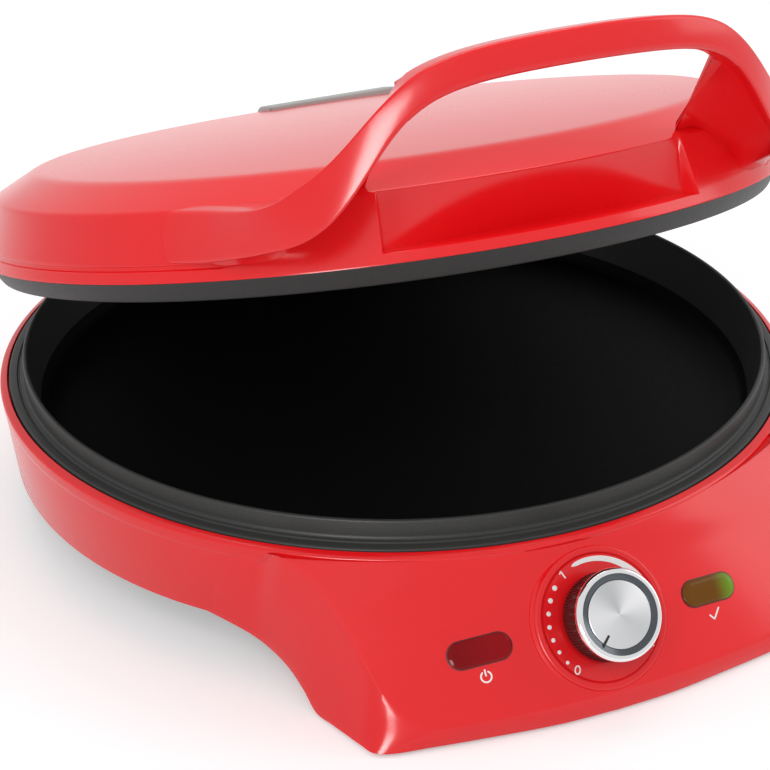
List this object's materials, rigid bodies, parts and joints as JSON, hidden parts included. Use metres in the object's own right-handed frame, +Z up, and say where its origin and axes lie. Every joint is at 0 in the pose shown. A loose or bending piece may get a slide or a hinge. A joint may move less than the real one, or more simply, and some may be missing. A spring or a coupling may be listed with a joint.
{
  "type": "electric pizza maker",
  "caption": "Countertop pizza maker: a round coated pan in a red housing with a sloping control console, and a hinged red lid with a bow handle and a second heated plate.",
  "frame": {"origin": "on the table, below the centre of the round pan, which is also the middle of the box from the knob's front edge to the cord gland's end", "axes": "+Z up, +X to the right as seen from the front, front (control console and handle) towards -Y, lid hinge towards +Y"},
  "size_m": [0.339, 0.4172, 0.2542],
  "materials": {
    "red_plastic": "glossy",
    "liner_plastic": "glossy",
    "dark_plastic": "matt",
    "knob_plastic": "satin",
    "coated_aluminium": "satin non-stick coating",
    "rim_aluminium": "satin non-stick coating",
    "heater_steel": "satin",
    "sheet_steel": "bright rolled",
    "screw_steel": "zinc plated",
    "foot_rubber": "matt",
    "ceramic_white": "matt",
    "switch_plastic": "matt",
    "nut_brass": "satin",
    "wire_sleeve": "woven sleeve",
    "lens_red": "clear tinted",
    "lens_green": "clear tinted",
    "lamp_glass": "clear",
    "knob_chrome": "polished",
    "knob_aluminium": "spun",
    "pointer_black": "satin",
    "grey_plastic": "satin"
  },
  "bodies": {
    "base": {"base_housing": "red_plastic", "console_housing": "red_plastic", "hinge_block": "red_plastic", "bottom_cover": "dark_plastic", "console_cover": "dark_plastic", "lower_pan": "coated_aluminium", "pan_screws": "screw_steel", "lower_element": "heater_steel", "lower_clips": "sheet_steel", "clip_screws": "screw_steel", "lower_reflector": "sheet_steel", "reflector_screws": "screw_steel", "cover_screws": "screw_steel", "console_screws": "screw_steel", "front_feet": "foot_rubber", "rear_feet": "foot_rubber", "cord_gland": "dark_plastic", "gland_nut": "dark_plastic", "terminal_block": "ceramic_white", "base_wiring": "wire_sleeve", "thermostat": "switch_plastic", "thermostat_bracket": "sheet_steel", "thermostat_nut": "nut_brass", "thermal_fuse": "ceramic_white", "power_lens": "lens_red", "ready_lens": "lens_green", "power_lamp": "lamp_glass", "ready_lamp": "lamp_glass", "hinge_pins": "screw_steel"},
    "lid": {"lid_shell": "red_plastic", "lid_handle": "red_plastic", "handle_liner": "liner_plastic", "handle_screws": "screw_steel", "upper_plate": "rim_aluminium", "lid_screws": "screw_steel", "upper_element": "heater_steel", "upper_clips": "sheet_steel", "upper_clip_screws": "screw_steel", "upper_reflector": "sheet_steel", "upper_screws": "screw_steel", "lid_hinge": "red_plastic", "hinge_screws": "screw_steel", "hinge_cover": "grey_plastic", "lid_cutout": "ceramic_white", "lid_wiring": "wire_sleeve"},
    "knob": {"knob_barrel": "knob_plastic", "knob_ring": "knob_chrome", "knob_disc": "knob_aluminium", "knob_pointer": "pointer_black", "thermostat_shaft": "screw_steel"}
  },
  "joints": [
    {"name": "lid_hinge", "type": "hinge", "parent": "base", "child": "lid", "pos_m": [0, 0.184, 0.0567], "axis": [-1, 0, 0], "range_deg": [-17, 78]},
    {"name": "knob_turn", "type": "hinge", "parent": "base", "child": "knob", "pos_m": [0, -0.18514, 0.03244], "axis": [0, 0.8169, -0.5768], "range_deg": [0, 270]}
  ]
}
